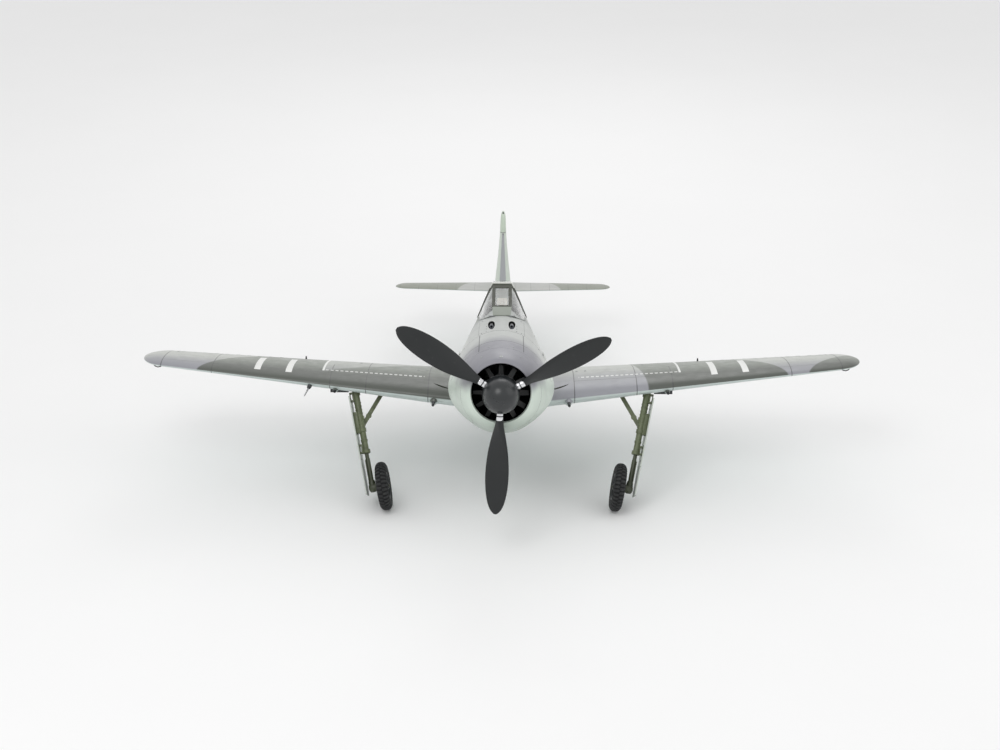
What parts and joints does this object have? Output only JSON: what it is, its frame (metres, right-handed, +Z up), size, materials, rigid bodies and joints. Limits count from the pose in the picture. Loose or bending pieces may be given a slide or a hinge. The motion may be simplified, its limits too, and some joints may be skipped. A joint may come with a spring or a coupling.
{
  "type": "radio-controlled warbird plane",
  "caption": "Radio-controlled model of a low-wing radial-engined propeller fighter with retracting gear, flaps, sliding canopy and full control surfaces.",
  "frame": {"origin": "on the ground under the middle of the model as it stands tail-down on its three wheels", "axes": "+Z up, -Y towards the nose, +X towards the port (left-hand) wing tip; the thrust line is tipped 12.5 degrees nose-up"},
  "size_m": [1.497, 1.277, 0.4559],
  "materials": {
    "cowl_paint": "satin pale green paint on a moulded cowl",
    "fuselage_paint": "satin grey paint with engraved panel lines",
    "wing_paint": "satin grey and green splinter paint, pale underside",
    "gear_paint": "satin olive grey-green paint",
    "door_paint": "satin pale grey-green paint",
    "blade_black": "satin black moulding",
    "spinner_black": "satin black spinner",
    "gun_metal": "dark metal paint",
    "bright_metal": "brushed metal",
    "light_alloy": "cast light alloy",
    "tyre_rubber": "black ribbed rubber",
    "ply": "birch plywood",
    "black_case": "black moulded case",
    "battery_wrap": "blue heat-shrink wrap",
    "seat_cream": "matt cream",
    "cockpit_grey": "matt dark grey",
    "clear_glazing": "clear moulded glazing with painted frames",
    "carbon": "carbon tube"
  },
  "bodies": {
    "airframe": {"fuselage": "fuselage_paint", "nose_ring": "cowl_paint", "engine_cowl": "cowl_paint", "firewall": "ply", "motor_mount": "light_alloy", "speed_controller": "black_case", "flight_battery": "battery_wrap", "radio_receiver": "black_case", "equipment_tray": "ply", "elevator_servo": "black_case", "rudder_servo": "black_case", "wing_left": "wing_paint", "wing_right": "wing_paint", "wing_joiner_tube": "carbon", "aileron_servo_left": "black_case", "aileron_servo_right": "black_case", "retract_unit_left": "black_case", "retract_unit_right": "black_case", "root_gun_left": "gun_metal", "root_gun_right": "gun_metal", "outer_gun_left": "gun_metal", "outer_gun_right": "gun_metal", "pitot_tube": "bright_metal", "windscreen": "clear_glazing", "cockpit_tub": "cockpit_grey", "instrument_panel": "cockpit_grey", "pilot_seat": "seat_cream", "tailplane": "wing_paint"},
    "propeller": {"spinner": "spinner_black", "prop_hub": "light_alloy", "prop_blade_1": "blade_black", "prop_blade_2": "blade_black", "prop_blade_3": "blade_black", "cooling_fan": "blade_black", "motor_bell": "light_alloy"},
    "hatch": {"battery_hatch": "fuselage_paint"},
    "canopy_body": {"canopy": "clear_glazing"},
    "aileron_left_body": {"aileron_left": "wing_paint"},
    "aileron_right_body": {"aileron_right": "wing_paint"},
    "flap_left_body": {"flap_left": "wing_paint"},
    "flap_right_body": {"flap_right": "wing_paint"},
    "elevator_body": {"elevator": "wing_paint"},
    "rudder_body": {"rudder": "fuselage_paint"},
    "tail_gear": {"tail_fork": "gear_paint"},
    "tail_wheel": {"tail_hub": "light_alloy", "tail_tyre": "tyre_rubber"},
    "gear_left": {"gear_leg_left": "gear_paint", "gear_door_left": "door_paint"},
    "oleo_left": {"gear_piston_left": "gear_paint"},
    "wheel_left": {"main_hub_left": "light_alloy", "main_tyre_left": "tyre_rubber"},
    "brace_upper_left_body": {"brace_upper_left": "gear_paint"},
    "brace_lower_left_body": {"brace_lower_left": "gear_paint"},
    "gear_right": {"gear_leg_right": "gear_paint", "gear_door_right": "door_paint"},
    "oleo_right": {"gear_piston_right": "gear_paint"},
    "wheel_right": {"main_hub_right": "light_alloy", "main_tyre_right": "tyre_rubber"},
    "brace_upper_right_body": {"brace_upper_right": "gear_paint"},
    "brace_lower_right_body": {"brace_lower_right": "gear_paint"}
  },
  "joints": [
    {"name": "prop_spin", "type": "hinge", "parent": "airframe", "child": "propeller", "pos_m": [0, -0.58543, 0.32887], "axis": [0, 0.9763, -0.2164], "continuous": true},
    {"name": "hatch_hinge", "type": "hinge", "parent": "airframe", "child": "hatch", "pos_m": [0, -0.2035, 0.33987], "axis": [-1, 0, 0], "range_deg": [0, 65]},
    {"name": "canopy_slide", "type": "slide", "parent": "airframe", "child": "canopy_body", "axis": [0, 0.9763, -0.2164], "range_m": [0, 0.07]},
    {"name": "aileron_left", "type": "hinge", "parent": "airframe", "child": "aileron_left_body", "pos_m": [0.579, -0.1453, 0.21871], "axis": [0.9878, -0.1019, 0.1175], "range_deg": [-22, 22]},
    {"name": "aileron_right", "type": "hinge", "parent": "airframe", "child": "aileron_right_body", "pos_m": [-0.579, -0.1453, 0.21871], "axis": [0.9878, 0.1019, -0.1175], "range_deg": [-22, 22]},
    {"name": "flap_left", "type": "hinge", "parent": "airframe", "child": "flap_left_body", "pos_m": [0.28, -0.10797, 0.1714], "axis": [-0.9851, 0.1064, -0.1351], "range_deg": [0, 60]},
    {"name": "flap_right", "type": "hinge", "parent": "airframe", "child": "flap_right_body", "pos_m": [-0.28, -0.10797, 0.1714], "axis": [-0.9851, -0.1064, 0.1351], "range_deg": [0, 60]},
    {"name": "elevator", "type": "hinge", "parent": "airframe", "child": "elevator_body", "pos_m": [0, 0.5119, 0.14091], "axis": [1, 0, 0], "range_deg": [-25, 25]},
    {"name": "rudder", "type": "hinge", "parent": "airframe", "child": "rudder_body", "pos_m": [0, 0.55456, 0.17857], "axis": [0, 0.2164, 0.9763], "range_deg": [-30, 30]},
    {"name": "tail_steer", "type": "hinge", "parent": "airframe", "child": "tail_gear", "pos_m": [0, 0.46701, 0.09555], "axis": [0, 0.2164, 0.9763], "range_deg": [-30, 30]},
    {"name": "tail_wheel_spin", "type": "hinge", "parent": "tail_gear", "child": "tail_wheel", "pos_m": [0, 0.4723, 0.02698], "axis": [1, 0, 0], "continuous": true},
    {"name": "gear_left", "type": "hinge", "parent": "airframe", "child": "gear_left", "pos_m": [0.303, -0.29979, 0.21741], "axis": [0.2811, 0.8305, -0.4809], "range_deg": [0, 72.88]},
    {"name": "oleo_left", "type": "slide", "parent": "gear_left", "child": "oleo_left", "axis": [0.1952, 0.5592, 0.8057], "range_m": [0, 0.01], "stiffness_N_per_m": 1500, "springref_m": -0.02},
    {"name": "wheel_left_spin", "type": "hinge", "parent": "oleo_left", "child": "wheel_left", "pos_m": [0.23928, -0.41793, 0.04952], "axis": [0.9877, -0.0339, -0.1527], "continuous": true},
    {"name": "brace_upper_left", "type": "hinge", "parent": "airframe", "child": "brace_upper_left_body", "pos_m": [0.24273, -0.29868, 0.20766], "axis": [0.2811, 0.8305, -0.4809], "range_deg": [0, 114]},
    {"name": "brace_lower_left", "type": "hinge", "parent": "gear_left", "child": "brace_lower_left_body", "pos_m": [0.28609, -0.34822, 0.14746], "axis": [0.2811, 0.8305, -0.4809], "range_deg": [-142, 0]},
    {"name": "gear_right", "type": "hinge", "parent": "airframe", "child": "gear_right", "pos_m": [-0.303, -0.29979, 0.21741], "axis": [0.2811, -0.8305, 0.4809], "range_deg": [0, 72.88]},
    {"name": "oleo_right", "type": "slide", "parent": "gear_right", "child": "oleo_right", "axis": [-0.1952, 0.5592, 0.8057], "range_m": [0, 0.01], "stiffness_N_per_m": 1500, "springref_m": -0.02},
    {"name": "wheel_right_spin", "type": "hinge", "parent": "oleo_right", "child": "wheel_right", "pos_m": [-0.23928, -0.41793, 0.04952], "axis": [-0.9877, -0.0339, -0.1527], "continuous": true},
    {"name": "brace_upper_right", "type": "hinge", "parent": "airframe", "child": "brace_upper_right_body", "pos_m": [-0.24273, -0.29868, 0.20766], "axis": [0.2811, -0.8305, 0.4809], "range_deg": [0, 114]},
    {"name": "brace_lower_right", "type": "hinge", "parent": "gear_right", "child": "brace_lower_right_body", "pos_m": [-0.28609, -0.34822, 0.14746], "axis": [0.2811, -0.8305, 0.4809], "range_deg": [-142, 0]}
  ],
  "couplings": [
    {"joint": "aileron_right", "follows": "aileron_left", "ratio": -1},
    {"joint": "flap_right", "follows": "flap_left", "ratio": 1},
    {"joint": "tail_steer", "follows": "rudder", "ratio": 0.8},
    {"joint": "gear_right", "follows": "gear_left", "ratio": 1},
    {"joint": "brace_upper_left", "follows": "gear_left", "ratio": 1.5488},
    {"joint": "brace_lower_left", "follows": "gear_left", "ratio": -1.9208},
    {"joint": "brace_upper_right", "follows": "gear_left", "ratio": 1.5488},
    {"joint": "brace_lower_right", "follows": "gear_left", "ratio": -1.9208}
  ]
}
